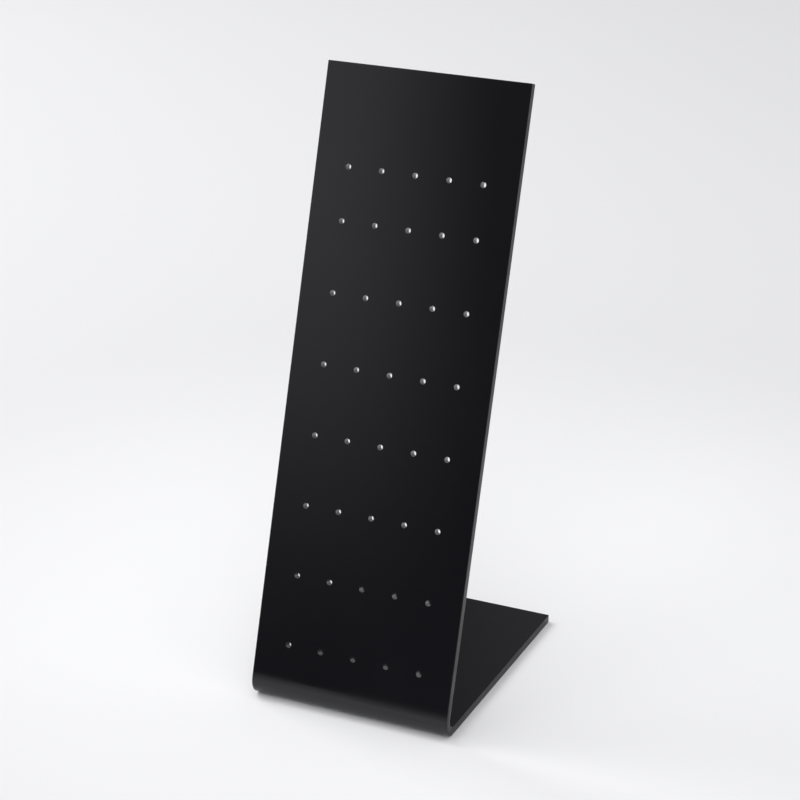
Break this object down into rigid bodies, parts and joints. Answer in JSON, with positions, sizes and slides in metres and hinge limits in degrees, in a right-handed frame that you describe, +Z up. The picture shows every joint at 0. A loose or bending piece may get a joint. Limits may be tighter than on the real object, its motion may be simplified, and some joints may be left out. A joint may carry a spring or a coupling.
{
  "type": "body jewelry holder",
  "caption": "Leaning display panel and flat base folded from one glossy black sheet, with a grid of fine holes that hold jewelry posts.",
  "frame": {"origin": "middle of the footprint, on the surface that the base rests on", "axes": "+X across the sheet to the viewer's right, +Y from the fold to the rear of the base, +Z up"},
  "size_m": [0.0762, 0.1016, 0.2208],
  "materials": {
    "sheet": "polished black acrylic"
  },
  "bodies": {
    "root": {"folded_sheet": "sheet"}
  },
  "joints": []
}
